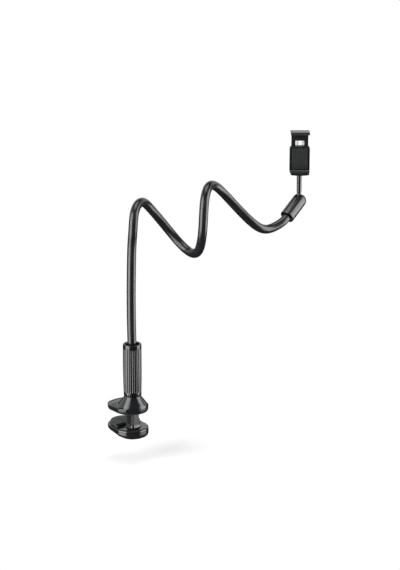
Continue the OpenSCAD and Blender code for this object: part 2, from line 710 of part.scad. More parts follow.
clamp_foot();
foot_pad();
thrust_washer();
grip_sleeve();
drive_nut();
lower_jaw();
jaw_pad();
clamp_post();
post_bolt();
post_washer();
post_screws();
lower_ferrule();
gooseneck_sleeve();
gooseneck_core();
upper_ferrule();
ball_seat();
locking_collar();
ball();
ball_stem();
stem_insert();
clamp_housing();
front_cover();
front_pad();
lower_jaw_pad();
guide_rods();
spring_pins();
cover_screws();
springs();
upper_jaw();
upper_jaw_pad();
slider_pins();
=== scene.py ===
"""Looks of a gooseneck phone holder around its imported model. Metres, in the model's frame."""

import json
import math

import bmesh
import bpy
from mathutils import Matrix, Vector


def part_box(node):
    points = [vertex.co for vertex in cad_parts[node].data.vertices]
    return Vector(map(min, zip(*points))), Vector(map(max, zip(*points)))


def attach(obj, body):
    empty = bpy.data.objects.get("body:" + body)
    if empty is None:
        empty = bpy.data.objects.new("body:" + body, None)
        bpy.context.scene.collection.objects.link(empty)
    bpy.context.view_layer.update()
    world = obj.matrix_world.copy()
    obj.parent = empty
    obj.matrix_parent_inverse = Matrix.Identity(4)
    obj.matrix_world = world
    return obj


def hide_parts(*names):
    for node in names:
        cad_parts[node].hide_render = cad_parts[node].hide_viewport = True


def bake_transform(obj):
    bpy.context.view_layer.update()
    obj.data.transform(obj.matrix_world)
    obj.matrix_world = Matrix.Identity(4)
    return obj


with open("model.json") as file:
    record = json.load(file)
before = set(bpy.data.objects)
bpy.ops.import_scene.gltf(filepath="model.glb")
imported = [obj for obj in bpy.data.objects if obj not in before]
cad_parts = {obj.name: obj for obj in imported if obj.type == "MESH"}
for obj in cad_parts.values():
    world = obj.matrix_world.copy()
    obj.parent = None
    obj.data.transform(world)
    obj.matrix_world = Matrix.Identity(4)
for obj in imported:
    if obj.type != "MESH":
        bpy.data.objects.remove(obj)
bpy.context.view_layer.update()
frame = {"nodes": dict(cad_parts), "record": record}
MM = 0.001

# Camera: the photograph's, 3.2 m away and 15 degrees above the holder
camera = bpy.data.objects.new("camera", bpy.data.cameras.new("camera"))
camera.data.sensor_width = 36
camera.data.lens = 120
camera.location = (0.1201, -3.2136, 1.1179)
camera.rotation_euler = (math.radians(74.6), 0, 0)
bpy.context.scene.collection.objects.link(camera)
bpy.context.scene.camera = camera


# Materials
def linear(code):
    """An sRGB hex colour such as #1c1d1f as the linear RGBA that Blender works in."""
    parts = [int(code[i:i + 2], 16) / 255 for i in (1, 3, 5)]
    return [v / 12.92 if v <= 0.04045 else ((v + 0.055) / 1.055) ** 2.4 for v in parts] + [1]


def add(tree, kind, links=None, inputs=None, **settings):
    """Adds a node with its settings, its input values, and its links from other nodes' outputs."""
    node = tree.nodes.new(kind)
    for name, value in settings.items():
        setattr(node, name, value)
    for name, value in (inputs or {}).items():
        node.inputs[name].default_value = value
    for name, output in (links or {}).items():
        tree.links.new(output, node.inputs[name])
    return node


def blank(name, **shader):
    """A new material with one surface shader, its constant values set on its own sockets."""
    material = bpy.data.materials.new(name)
    material.use_nodes = True
    tree = material.node_tree
    surface = tree.nodes["Principled BSDF"]
    for socket, value in shader.items():
        surface.inputs[socket.replace("_", " ")].default_value = value
    return material, tree, surface


def millimetres(tree, stretch=(1, 1, 1), source="Object"):
    """Object coordinates in millimetres, drawn out along an axis where the making leaves lines."""
    place = add(tree, "ShaderNodeTexCoord")
    scale = [1 / MM / s for s in stretch]
    return add(tree, "ShaderNodeVectorMath", {0: place.outputs[source]}, {1: scale},
               operation="MULTIPLY").outputs[0]


def finish_skin(tree, surface, cloud, tones, wear, gloss, relief):
    """One finish from its patterns: cloud shades it between two tones, wear takes it between two
    roughnesses, and each layer of relief raises it by its depth in millimetres, the last on top."""
    shade = add(tree, "ShaderNodeValToRGB", {"Fac": cloud})
    for point, place, tone in zip(shade.color_ramp.elements, (0.35, 0.65), tones):
        point.position, point.color = place, linear(tone)
    rub = add(tree, "ShaderNodeMapRange", {"Value": wear},
              {"From Min": 0.3, "From Max": 0.7, "To Min": gloss[0], "To Max": gloss[1]})
    under = {}
    for pattern, depth in relief:
        raised = add(tree, "ShaderNodeBump", {"Height": pattern, **under}, {"Distance": depth * MM})
        under = {"Normal": raised.outputs[0]}
    tree.links.new(shade.outputs["Color"], surface.inputs["Base Color"])
    tree.links.new(rub.outputs[0], surface.inputs["Roughness"])
    tree.links.new(raised.outputs[0], surface.inputs["Normal"])
    return shade.outputs["Color"]


def fleck_over(tree, surface, colour, amount, fleck):
    """Lays a second colour over the first where amount says, as lint or bared metal does."""
    mix = add(tree, "ShaderNodeMix", {0: amount, 6: colour}, {7: linear(fleck)}, data_type="RGBA")
    tree.links.new(mix.outputs[2], surface.inputs["Base Color"])


def moulded_abs_semi_gloss():
    """Injection-moulded ABS from a polished tool: near-black under a soft clear reflection.
    Shrinkage over the ribs inside leaves a waviness some 14 mm long, and wiping leaves marks 4 mm
    apart."""
    material, tree, surface = blank("moulded_abs_semi_gloss", IOR=1.53)
    where = millimetres(tree)
    cloud = add(tree, "ShaderNodeTexNoise", {"Vector": where},
                {"Scale": 1 / 26, "Detail": 3}).outputs["Fac"]
    wiped = add(tree, "ShaderNodeTexNoise", {"Vector": millimetres(tree, (1, 6, 1))},
                {"Scale": 1 / 4, "Detail": 5, "Roughness": 0.6}).outputs["Fac"]
    sink = add(tree, "ShaderNodeTexNoise", {"Vector": where},
               {"Scale": 1 / 14, "Detail": 1}).outputs["Fac"]
    tool = add(tree, "ShaderNodeTexNoise", {"Vector": where},
               {"Scale": 1 / 1.1, "Detail": 2}).outputs["Fac"]
    finish_skin(tree, surface, cloud, ("#151617", "#1b1c1e"), wiped, (0.13, 0.2),
                ((sink, 0.05), (tool, 0.006)))
    return material


def grained_abs(name, tones, gloss, grain):
    """Injection-moulded plastic from a spark-eroded tool: a fine leathery grain, rubbed a little
    smoother in patches where hands hold it. The real grain is near 0.3 mm and would be lost in the
    render, so it is drawn 0.7 to 1 mm wide."""
    material, tree, surface = blank(name, IOR=1.53)
    where = millimetres(tree)
    cells = add(tree, "ShaderNodeTexVoronoi", {"Vector": where}, {"Scale": 1 / grain},
                feature="SMOOTH_F1").outputs["Distance"]
    rubbed = add(tree, "ShaderNodeTexNoise", {"Vector": where},
                 {"Scale": 1 / 18, "Detail": 3}).outputs["Fac"]
    fine = add(tree, "ShaderNodeTexNoise", {"Vector": where},
               {"Scale": 1 / 0.5, "Detail": 3}).outputs["Fac"]
    finish_skin(tree, surface, rubbed, tones, rubbed, gloss, ((cells, 0.012), (fine, 0.003)))
    return material


def moulded_silicone():
    """Compression-moulded silicone rubber: matt black that greys at grazing light, with the lint
    and dust that its tack picks up, specks near 0.5 mm and drawn sparse."""
    material, tree, surface = blank("moulded_silicone", IOR=1.41, Sheen_Weight=0.12,
                                    Sheen_Roughness=0.5)
    where = millimetres(tree)
    cloud = add(tree, "ShaderNodeTexNoise", {"Vector": where},
                {"Scale": 1 / 9, "Detail": 3}).outputs["Fac"]
    worn = add(tree, "ShaderNodeTexNoise", {"Vector": where},
               {"Scale": 1 / 6, "Detail": 3}).outputs["Fac"]
    fine = add(tree, "ShaderNodeTexNoise", {"Vector": where},
               {"Scale": 1 / 0.8, "Detail": 3}).outputs["Fac"]
    black = finish_skin(tree, surface, cloud, ("#17181a", "#1f2021"), worn, (0.66, 0.8),
                        ((fine, 0.02),))
    lint = add(tree, "ShaderNodeTexVoronoi", {"Vector": where},
               {"Scale": 1 / 2.2}).outputs["Distance"]
    speck = add(tree, "ShaderNodeMapRange", {"Value": lint},
                {"From Min": 0.05, "From Max": 0.11, "To Min": 0.3, "To Max": 0.0}).outputs[0]
    fleck_over(tree, surface, black, speck, "#55565a")
    return material


def extruded_rubber():
    """Extruded thermoplastic rubber sleeve: satin black with a soft sheen. The die leaves faint
    lines along the length, here 1.2 mm apart, and bending leaves slow ripples about 9 mm long. The
    map's first axis runs along the sleeve and its second around it."""
    material, tree, surface = blank("extruded_rubber", IOR=1.5)
    lines = add(tree, "ShaderNodeTexNoise", {"Vector": millimetres(tree, (900, 1.2, 1), "UV")},
                {"Scale": 1, "Detail": 4, "Roughness": 0.6}).outputs["Fac"]
    ripple = add(tree, "ShaderNodeTexNoise", {"Vector": millimetres(tree, (9, 30, 1), "UV")},
                 {"Scale": 1, "Detail": 2}).outputs["Fac"]
    smear = add(tree, "ShaderNodeTexNoise", {"Vector": millimetres(tree, (40, 14, 1), "UV")},
                {"Scale": 1, "Detail": 4}).outputs["Fac"]
    finish_skin(tree, surface, smear, ("#17181a", "#1d1e20"), smear, (0.21, 0.28),
                ((ripple, 0.02), (lines, 0.004)))
    return material


def powder_coated_zinc():
    """Die-cast zinc under black powder coat: the slight orange peel of baked powder, lumps about
    1 mm, worn to the grey metal only where edges rub."""
    material, tree, surface = blank("powder_coated_zinc", IOR=1.5)
    where = millimetres(tree)
    cloud = add(tree, "ShaderNodeTexNoise", {"Vector": where},
                {"Scale": 1 / 12, "Detail": 3}).outputs["Fac"]
    peel = add(tree, "ShaderNodeTexNoise", {"Vector": where},
               {"Scale": 1, "Detail": 2}).outputs["Fac"]
    scuff = add(tree, "ShaderNodeTexNoise", {"Vector": where},
                {"Scale": 1 / 2.4, "Detail": 4}).outputs["Fac"]
    coat = finish_skin(tree, surface, cloud, ("#1a1b1d", "#212225"), scuff, (0.2, 0.28),
                       ((peel, 0.008),))
    bevel = add(tree, "ShaderNodeBevel", None, {"Radius": 0.5 * MM}, samples=4)
    flat = add(tree, "ShaderNodeNewGeometry")
    turn = add(tree, "ShaderNodeVectorMath", {0: bevel.outputs[0], 1: flat.outputs["Normal"]},
               operation="DOT_PRODUCT").outputs["Value"]
    edge = add(tree, "ShaderNodeMapRange", {"Value": turn},
               {"From Min": 0.86, "From Max": 0.97, "To Min": 0.5, "To Max": 0.0}).outputs[0]
    bared = add(tree, "ShaderNodeMath", {0: edge, 1: scuff}, operation="MULTIPLY").outputs[0]
    fleck_over(tree, surface, coat, bared, "#77797c")
    return material


def lacquered_steel():
    """Turned steel rod under gloss black lacquer: a clear deep reflection over faint turning rings
    0.6 mm apart."""
    material, tree, surface = blank("lacquered_steel", IOR=1.5, Coat_Weight=0.6,
                                    Coat_Roughness=0.08)
    rings = add(tree, "ShaderNodeTexNoise", {"Vector": millimetres(tree, (50, 50, 0.6))},
                {"Scale": 1, "Detail": 3}).outputs["Fac"]
    finish_skin(tree, surface, rings, ("#0f1011", "#151618"), rings, (0.14, 0.2), ((rings, 0.004),))
    return material


def bare_metal(name, tones, lay, gloss):
    """Bare metal with the marks of its turning, drawing or rolling, which are 0.008 mm deep and as
    long along each axis as lay says, in millimetres."""
    material, tree, surface = blank(name, Metallic=1.0)
    marks = add(tree, "ShaderNodeTexNoise", {"Vector": millimetres(tree, lay)},
                {"Scale": 1, "Detail": 4, "Roughness": 0.6}).outputs["Fac"]
    stain = add(tree, "ShaderNodeTexNoise", {"Vector": millimetres(tree)},
                {"Scale": 1 / 7, "Detail": 3}).outputs["Fac"]
    finish_skin(tree, surface, stain, tones, marks, gloss, ((marks, 0.008),))
    return material


def natural_nylon():
    """Moulded natural nylon: milky off-white, satin from the tool, with light passing a little way
    in."""
    material, tree, surface = blank("natural_nylon", IOR=1.53, Subsurface_Weight=0.15)
    surface.inputs["Subsurface Radius"].default_value = (0.002, 0.0018, 0.0014)
    where = millimetres(tree)
    cloud = add(tree, "ShaderNodeTexNoise", {"Vector": where},
                {"Scale": 1 / 8, "Detail": 3}).outputs["Fac"]
    worn = add(tree, "ShaderNodeTexNoise", {"Vector": where},
               {"Scale": 1 / 3, "Detail": 3}).outputs["Fac"]
    fine = add(tree, "ShaderNodeTexNoise", {"Vector": where},
               {"Scale": 1 / 0.8, "Detail": 2}).outputs["Fac"]
    finish_skin(tree, surface, cloud, ("#d9d6cc", "#e4e2d9"), worn, (0.38, 0.5), ((fine, 0.01),))
    return material


finish = {
    "foot_abs": moulded_abs_semi_gloss(),
    "grip_abs": grained_abs("grained_abs_grip", ("#0e0f11", "#131416"), (0.15, 0.19), 1.0),
    "collar_abs": grained_abs("satin_nylon_collar", ("#1b1c1e", "#222325"), (0.22, 0.27), 0.7),
    "clamp_abs": grained_abs("satin_abs_clamp", ("#17181a", "#1e1f21"), (0.26, 0.33), 0.8),
    "silicone": moulded_silicone(),
    "sleeve_rubber": extruded_rubber(),
    "post_zinc": powder_coated_zinc(),
    "stem_gloss": lacquered_steel(),
    "core_alloy": bare_metal("drawn_aluminium", ("#b9bbbd", "#d0d2d4"), (12, 12, 12), (0.3, 0.42)),
    "steel": bare_metal("zinc_plated_steel", ("#8d9094", "#a9acb0"), (2, 2, 2), (0.3, 0.42)),
    "spring_wire": bare_metal("drawn_spring_steel", ("#a6a9ac", "#c0c3c6"), (3, 3, 0.5),
                              (0.22, 0.34)),
    "brass": bare_metal("turned_brass", ("#a8853f", "#c09a50"), (40, 40, 0.5), (0.25, 0.38)),
    "nylon": natural_nylon(),
}

slot_of = {row["node"]: row["material_slot"] for row in frame["record"]["subparts"]}
for node, piece in frame["nodes"].items():
    piece.data.materials.clear()
    piece.data.materials.append(finish[slot_of[node]])


def new_piece(name, mesh, body, slot, *stands_for):
    """Places a made mesh as a piece of its own that rides on a body and takes a slot's finish."""
    piece = bpy.data.objects.new(name, mesh)
    bpy.context.scene.collection.objects.link(piece)
    mesh.materials.append(finish[slot])
    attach(piece, body)
    if stands_for:
        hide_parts(*stands_for)
    return piece


# Gooseneck sleeve
# The arm's route: the points that steer the model's arm, in millimetres. It ends on the collar's
# axis, in line with the ball.
BALL = Vector((298.4, 127, 355.2))
LEAN, TURN = math.radians(58), math.radians(52)
COLLAR = Vector((math.sin(LEAN) * math.cos(TURN), math.sin(LEAN) * math.sin(TURN), math.cos(LEAN)))
ROUTE = [
    (0, 0, 100), (0, 0, 106), (0, 0, 116), (-1, 0, 160), (-1, 0, 215), (0, 0, 265), (1, 0, 305),
    (4, -8, 334), (5, -4, 360), (10, 16, 374), (20, 38, 376), (30, 58, 360), (48, 68, 336),
    (68, 70, 310), (88, 60, 288), (106, 40, 278), (117, 16, 286), (123, -4, 310), (126, -12, 346),
    (127, -10, 383), (132, 12, 405), (142, 40, 407), (160, 58, 387), (186, 60, 357), (210, 56, 333),
    (228, 62, 318), (245, 76, 314),
]
SLEEVE_D, SLEEVE_WALL = 16, 1.7
SLEEVE_SIDES, STEPS_PER_SPAN, BORE_STEP = 48, 18, 6
# Each end is eased over 0.4 mm. A pair is how far in a ring lies and how far below the surface.
LIP = ((0.0, 0.4), (0.03, 0.28), (0.12, 0.12), (0.28, 0.03), (0.4, 0.0))


def arm_line(per_span):
    """The arm's centre line as the model has it, a uniform cubic B-spline, finely divided."""
    steer = [Vector(p) for p in ROUTE] + [BALL - d * COLLAR for d in (57, 46, 36, 28, 22)]
    steer = [2 * steer[0] - steer[1]] + steer + [2 * steer[-1] - steer[-2]]
    points = []
    for i in range(len(steer) - 3):
        for k in range(per_span):
            t = k / per_span
            weights = ((1 - t) ** 3, 3 * t ** 3 - 6 * t * t + 4,
                       -3 * t ** 3 + 3 * t * t + 3 * t + 1, t ** 3)
            points.append(sum((w * p for w, p in zip(weights, steer[i:i + 4])), Vector()) / 6)
    return points + [steer[-2]]


def sweep(mesh, line, profile, sides, closed=False):
    """Sweeps rings of given radii along a line. profile holds (index along the line, slip, radius)
    for each ring, all in millimetres; the map runs along in millimetres and around."""
    line = [Vector(p) for p in line]
    along = [(line[min(i + 1, len(line) - 1)] - line[max(i - 1, 0)]).normalized()
             for i in range(len(line))]
    side, across = [], Vector((1, 0, 0))
    for direction in along:
        across = (across - across.dot(direction) * direction).normalized()
        side.append(across)
    length = [0]
    for a, b in zip(line, line[1:]):
        length.append(length[-1] + (b - a).length)
    work = bmesh.new()
    rings, place = [], []
    turns = [math.tau * j / sides for j in range(sides)]
    for index, slip, radius in profile:
        up = along[index].cross(side[index])
        middle = line[index] + slip * along[index]
        ring = [middle + radius * (math.cos(a) * side[index] + math.sin(a) * up) for a in turns]
        rings.append([work.verts.new(MM * point) for point in ring])
        place.append(length[index] + slip)
    uv = work.loops.layers.uv.new("map")
    width = math.pi * SLEEVE_D / sides
    for i in range(len(rings) - (0 if closed else 1)):
        k = (i + 1) % len(rings)
        for j in range(sides):
            n = (j + 1) % sides
            face = work.faces.new((rings[i][j], rings[i][n], rings[k][n], rings[k][j]))
            face.smooth = True
            for loop, (ring, step) in zip(face.loops, ((i, j), (i, j + 1), (k, j + 1), (k, j))):
                loop[uv].uv = (place[ring] * MM, step * width * MM)
    work.normal_update()
    work.to_mesh(mesh)
    work.free()
    return mesh


line = arm_line(STEPS_PER_SPAN)
last = len(line) - 1
sleeve_r, bore_r = SLEEVE_D / 2, SLEEVE_D / 2 - SLEEVE_WALL
profile = [(0, slip, sleeve_r - drop) for slip, drop in LIP]
profile += [(i, 0, sleeve_r) for i in range(1, last)]
profile += [(last, -slip, sleeve_r - drop) for slip, drop in reversed(LIP)]
profile += [(i, 0, bore_r) for i in (last, *range(last - BORE_STEP, 0, -BORE_STEP), 0)]
sleeve = bpy.data.meshes.new("gooseneck_sleeve_skin")
sweep(sleeve, line, profile, SLEEVE_SIDES, closed=True)
new_piece("gooseneck_sleeve_skin", sleeve, "arm", "sleeve_rubber", "gooseneck_sleeve")


# Foot and lower jaw
# Both are lofted from closed rings about the post's axis. A ring is given by its distance from the
# axis in each direction and its height there, in millimetres, with u along the clamp's reach.
REACH = math.radians(127)
AROUND = 144
SHARP = math.radians(38)
# The oval's end radius and its two centres, and the post as a bar
FOOT_R, NEAR, FAR = 31, 5, 25
POST = (-9.65, 9.65, 7.8, 2.5)
OVAL = (NEAR - FOOT_R, FAR + FOOT_R, FOOT_R, FOOT_R)


def outline(low, high, half, corner, grow=0.0):
    """Distances from the post's axis to a bar with rounded corners, once around it. The bar runs
    from low to high along the reach and half to each side, and stands out further by grow."""
    far = []
    for k in range(AROUND):
        c, s = math.cos(math.tau * k / AROUND), math.sin(math.tau * k / AROUND)
        end = (high if c > 0 else -low) + grow
        reach = min(end / max(abs(c), 1e-6), (half + grow) / max(abs(s), 1e-6))
        round_r = corner + grow
        at = (end - round_r, half + grow - round_r)
        if reach * abs(c) >= at[0] and reach * abs(s) >= at[1]:
            toward = at[0] * abs(c) + at[1] * abs(s)
            reach = toward + math.sqrt(toward ** 2 - at[0] ** 2 - at[1] ** 2 + round_r ** 2)
        far.append(reach)
    return far


def circle(radius):
    """Distances to a circle about the post's axis."""
    return outline(-radius, radius, radius, radius)


def ring_at(distances, height):
    """A ring of points in millimetres, whose height is a number or follows from the place."""
    points = []
    for k, reach in enumerate(distances):
        u, v = reach * math.cos(math.tau * k / AROUND), reach * math.sin(math.tau * k / AROUND)
        points.append((u, v, height(u, v) if callable(height) else height))
    return points


def between(inner, outer, part):
    """Distances part of the way from one outline to another."""
    return [a + (b - a) * part for a, b in zip(inner, outer)]


def loft(name, rings, turn):
    """A closed skin over rings, joined from the last back to the first, turned about the post."""
    work = bmesh.new()
    c, s = math.cos(turn), math.sin(turn)
    made = [[work.verts.new((MM * (c * u - s * v), MM * (s * u + c * v), MM * z))
             for u, v, z in ring] for ring in rings]
    for here, there in zip(made, made[1:] + made[:1]):
        for k in range(len(here)):
            n = (k + 1) % len(here)
            work.faces.new((here[k], here[n], there[n], there[k])).smooth = True
    bmesh.ops.recalc_face_normals(work, faces=work.faces)
    mesh = bpy.data.meshes.new(name)
    work.to_mesh(mesh)
    work.free()
    mesh.set_sharp_from_angle(angle=SHARP)
    return mesh


def soft_lower(a, b, soft):
    """The lower of two heights, eased over soft millimetres where they meet."""
    near = max(soft - abs(a - b), 0) / soft
    return min(a, b) - near * near * soft / 4


FOOT_LOW, RIM, NECK_Z, NECK_R, SPIGOT_R, SPIGOT_Z = 2, 9, 29, 14.3, 13.15, 37
SLOPE = math.tan(math.radians(2.5))
# The dome's height over the rim, the flare's fall, its run and how straight it falls, and where the
# roll at the rim begins and how high it stands
CROWN, FLARE_DROP, FLARE_RUN, FLARE_BEND, ROLL_FROM, ROLL_H = 7.5, 20, 15, 0.96, 26.5, 9
# Underneath: the gap round the post, and the seat of the pad round its hub
POST_GAP, HUB_R, SEAT_DEPTH, SEAT_INSET = 0.3, 14, 1, 1.45
# The eased lower edge, the lean of the wall and how far it stops below the rim
EDGE, DRAFT, UNDER_RIM = 0.85, 0.25, 0.5


def foot_top(u, v):
    """Height of the foot: a low dome over the oval and a flare up to the neck, eased together, both
    rolled over at the rim."""
    off = math.hypot(max(NEAR - u, u - FAR, 0), v)
    rim = RIM - SLOPE * u
    dome = rim + CROWN * (1 - (off / FOOT_R) ** 2)
    flare = NECK_Z - FLARE_DROP * (max(math.hypot(u, v) - NECK_R, 0) / FLARE_RUN) ** FLARE_BEND
    top = -soft_lower(-dome, -flare, 2.0)
    if off < ROLL_FROM:
        return top
    part = (off - ROLL_FROM) / (FOOT_R - ROLL_FROM)
    return soft_lower(top, rim + ROLL_H * math.sqrt(max(0, 1 - part ** 2)), 1.0)


def foot_wall(part):
    """A ring of the foot's wall, part of the way up from its eased lower edge to its rim."""
    low = FOOT_LOW + EDGE
    return ring_at(outline(*OVAL, DRAFT * (part - 1)),
                   lambda u, v: low + (RIM - UNDER_RIM - SLOPE * u - low) * part)


oval, post_bore = outline(*OVAL), outline(*POST, POST_GAP)
hub, seat, seat_top = circle(HUB_R), outline(*OVAL, -SEAT_INSET), FOOT_LOW + SEAT_DEPTH
foot_rings = [ring_at(post_bore, FOOT_LOW), ring_at(hub, FOOT_LOW), ring_at(hub, seat_top),
              ring_at(seat, seat_top), ring_at(seat, FOOT_LOW)]
foot_rings += [ring_at(outline(*OVAL, -DRAFT - EDGE * (1 - math.sin(a))),
                       FOOT_LOW + EDGE * (1 - math.cos(a)))
               for a in (0, 0.4, 0.8, 1.2, math.pi / 2)]
foot_rings += [foot_wall(part) for part in (0.33, 0.66, 1)]
# The top's rings lie closer together near the rim, where it rolls over
parts = [1 - 0.3 * (k / 14) ** 1.7 for k in range(15)] + [0.7 * (1 - k / 22) for k in range(1, 23)]
foot_rings += [ring_at(between(circle(NECK_R), oval, part), foot_top) for part in parts]
foot_rings += [ring_at(circle(SPIGOT_R), NECK_Z), ring_at(circle(SPIGOT_R), SPIGOT_Z),
               ring_at(post_bore, SPIGOT_Z)]
new_piece("foot_shell", loft("foot_shell", foot_rings, REACH), "table_base", "foot_abs",
          "clamp_foot")

# The jaw has a level deck with a rolled shoulder, a parting groove round its wall, and an underside
# that rises to the tip. A plinth carries the pad, and a boss stands around the post. The underside
# would reach HEEL_LOW under the heel, and is cut level at HEEL_FLAT.
DECK, PLINTH_TOP, BOSS_TOP, HEEL_LOW, HEEL_FLAT = -30, -28, -24.2, -48, -46.57
RISE = math.tan(math.radians(10))
BOLT_SEAT, POST_FOOT, WELL_R, BOLT_BORE_R = -39.5, -36.5, 5.3, 2.7
FULL_DEPTH, DECK_INSET, SHOULDER, BILGE, BILGE_FROM, UNDER_INSET = 12, 4.5, 3.2, 4.5, 0.7, 5
# How far the boss stands out from the post at each height
BOSS = ((0.05, POST_FOOT), (0.05, BOSS_TOP), (0.9, BOSS_TOP), (1.2, -24.6), (1.7, -26.6),
        (2.4, -28.2), (3.4, -29.4), (4.6, DECK))
# The groove's corners: how far in, and how far below the deck
PARTING = ((0, 3.6), (0.9, 3.7), (0.9, 4.5), (0, 4.6))


def jaw_depth(u):
    """Depth of the jaw below its deck: a rising underside, cut level at the heel."""
    return soft_lower(DECK - HEEL_LOW - (u - NEAR + FOOT_R) * RISE, DECK - HEEL_FLAT, 1.0)


def underside(u, v):
    """Height of the jaw's underside."""
    return DECK - jaw_depth(u)


def jaw_wall(inset, down, of_depth):
    """A ring of the jaw's wall. inset and down are in millimetres where the jaw has its full depth
    or more, and shrink where it is thinner, and of_depth is a part of its whole depth."""
    ring = []
    for k, edge in enumerate(oval):
        a = math.tau * k / AROUND
        depth = jaw_depth(edge * math.cos(a))
        size = min(1, depth / FULL_DEPTH)
        reach = edge - inset * size
        u, v = reach * math.cos(a), reach * math.sin(a)
        ring.append((u, v, DECK - down * size - of_depth * depth))
    return ring


boss_foot, deck_edge, well, bolt_bore = (
    outline(*POST, BOSS[-1][0]), outline(*OVAL, -DECK_INSET), circle(WELL_R), circle(BOLT_BORE_R))
jaw_rings = [ring_at(outline(*POST, grow), z) for grow, z in BOSS]
jaw_rings += [ring_at(between(boss_foot, deck_edge, part), DECK) for part in (0.33, 0.66)]
jaw_rings.append(jaw_wall(DECK_INSET, 0, 0))
jaw_rings += [jaw_wall(SHOULDER * (1 - math.sin(a)), SHOULDER * (1 - math.cos(a)), 0)
              for a in (0, 0.26, 0.52, 0.79, 1.05, 1.31, 1.57)]
jaw_rings += [jaw_wall(inset, down, 0) for inset, down in PARTING]
jaw_rings += [jaw_wall(0, PARTING[-1][1], 0.2), jaw_wall(0, 0, BILGE_FROM)]
jaw_rings += [jaw_wall(BILGE * (1 - math.cos(a)), 0, BILGE_FROM + (1 - BILGE_FROM) * math.sin(a))
              for a in (0.25, 0.5, 0.75, 1.0, 1.2, 1.4, math.pi / 2)]
jaw_rings += [ring_at(between(outline(*OVAL, -UNDER_INSET), well, part), underside)
              for part in (0.2, 0.5, 0.8)]
jaw_rings += [ring_at(well, underside), ring_at(well, BOLT_SEAT),
              ring_at(bolt_bore, BOLT_SEAT), ring_at(bolt_bore, POST_FOOT)]
new_piece("jaw_shell", loft("jaw_shell", jaw_rings, REACH), "arm", "foot_abs", "lower_jaw")

# The plinth under the jaw's pad is a plate with a rolled edge, sunk a little into the deck. A pair
# is how far it stands out from the pad, and its height.
PAD_START, PAD_MIDDLE, PAD_R, SUNK = 14.85, 30, 26, 0.5
PLINTH = ((1.6, DECK - SUNK), (1.5, DECK + 0.3), (1.1, PLINTH_TOP - 0.3), (0.7, PLINTH_TOP),
          (-4, PLINTH_TOP), (-4, DECK - SUNK))
pad_edge = [(FAR + PAD_R * math.cos(math.radians(d)), PAD_R * math.sin(math.radians(d)))
            for d in range(-90, 91, 6)]
pad_edge += [(PAD_START, PAD_R), (PAD_START, -PAD_R)]
plinth_rings = []
for grow, z in PLINTH:
    size = 1 + grow / PAD_R
    plinth_rings.append([(PAD_MIDDLE + (u - PAD_MIDDLE) * size, v * size, z) for u, v in pad_edge])
new_piece("jaw_plinth", loft("jaw_plinth", plinth_rings, REACH), "arm", "foot_abs")


# Grip
# The ribbed grip has 24 flat-topped ribs between V grooves, and a plain band at both ends. It is
# waisted a little at its lower end, and its bore widens at the top around the ferrule.
GRIP_LOW, GRIP_TOP, BEARING_R, CAVITY_R, CAVITY_Z = 29.3, 125.3, 13.25, 12.55, 58.2
RIBS, RIB_STEPS, RIB_DEPTH, GROOVE, BAND, RUN_OUT, EASE = 24, 14, 0.62, 0.75, 7.5, 1.5, 1.2
GRIP_R = (15.75, 16.65, 16.45)
GRIP_TURNS = [math.tau * k / (RIBS * RIB_STEPS) for k in range(RIBS * RIB_STEPS)]


def grip_ring(z, shrink=0.0):
    """A ring of the grip's outside, ribbed where z lies between its bands."""
    part = (z - GRIP_LOW) / (GRIP_TOP - GRIP_LOW)
    low, middle, top = GRIP_R
    size = (low + (4 * middle - 3 * low - top) * part
            + (2 * low + 2 * top - 4 * middle) * part * part - shrink)
    inside = min(z - GRIP_LOW - BAND, GRIP_TOP - BAND - z)
    deep = RIB_DEPTH * max(0, min(1, inside / RUN_OUT)) ** 0.5
    ring = []
    for a in GRIP_TURNS:
        reach = size - deep * (1 - min(1, abs(math.sin(RIBS / 2 * a)) / GROOVE))
        ring.append((reach * math.cos(a), reach * math.sin(a), z))
    return ring


def plain_ring(radius, z):
    """A ring of the grip's bore, with as many points as its outside."""
    return [(radius * math.cos(a), radius * math.sin(a), z) for a in GRIP_TURNS]


eased = [(EASE * (1 - math.sin(a)), EASE * (1 - math.cos(a)))
         for a in (0, 0.4, 0.8, 1.2, math.pi / 2)]
ribbed = [GRIP_LOW + BAND + RUN_OUT * part for part in (0, 0.1, 0.3, 0.6, 1)]
between_run_outs = GRIP_TOP - GRIP_LOW - 2 * (BAND + RUN_OUT)
grip_rings = [plain_ring(BEARING_R, GRIP_LOW)]
grip_rings += [grip_ring(GRIP_LOW + up, shrink) for shrink, up in eased]
grip_rings += [grip_ring(z) for z in ribbed]
grip_rings += [grip_ring(ribbed[-1] + between_run_outs * k / 10) for k in range(1, 10)]
grip_rings += [grip_ring(GRIP_TOP + GRIP_LOW - z) for z in reversed(ribbed)]
grip_rings += [grip_ring(GRIP_TOP - up, shrink) for shrink, up in reversed(eased)]
grip_rings += [plain_ring(radius, z) for radius, z in (
    (CAVITY_R + 1, GRIP_TOP), (CAVITY_R + 0.3, GRIP_TOP - 0.5), (CAVITY_R, GRIP_TOP - 1.5),
    (CAVITY_R, CAVITY_Z), (BEARING_R, CAVITY_Z))]
new_piece("ribbed_grip", loft("ribbed_grip", grip_rings, 0), "grip", "grip_abs", "grip_sleeve")


# Springs
# Two extension springs of 0.6 mm wire between the housing's pins and the slider's, with open coils
# and a hook round each pin.
WIRE_R, WIRE_TIP_R, WIRE_SIDES, COIL_R, TURNS, STEPS = 0.3, 0.06, 8, 2.1, 24, 20
PIN_LOW, PIN_TOP, PIN_X, HOOK_R = 62, 114.5, 4.9, 1.15
# The leg between a hook and the coils: how far out, and how far from the pin
LEG = ((HOOK_R + 0.35, 1.6), (COIL_R, 2.5))
LEG_Y, COIL_START, BLENDED_FROM = 0.1, 3.2, 2


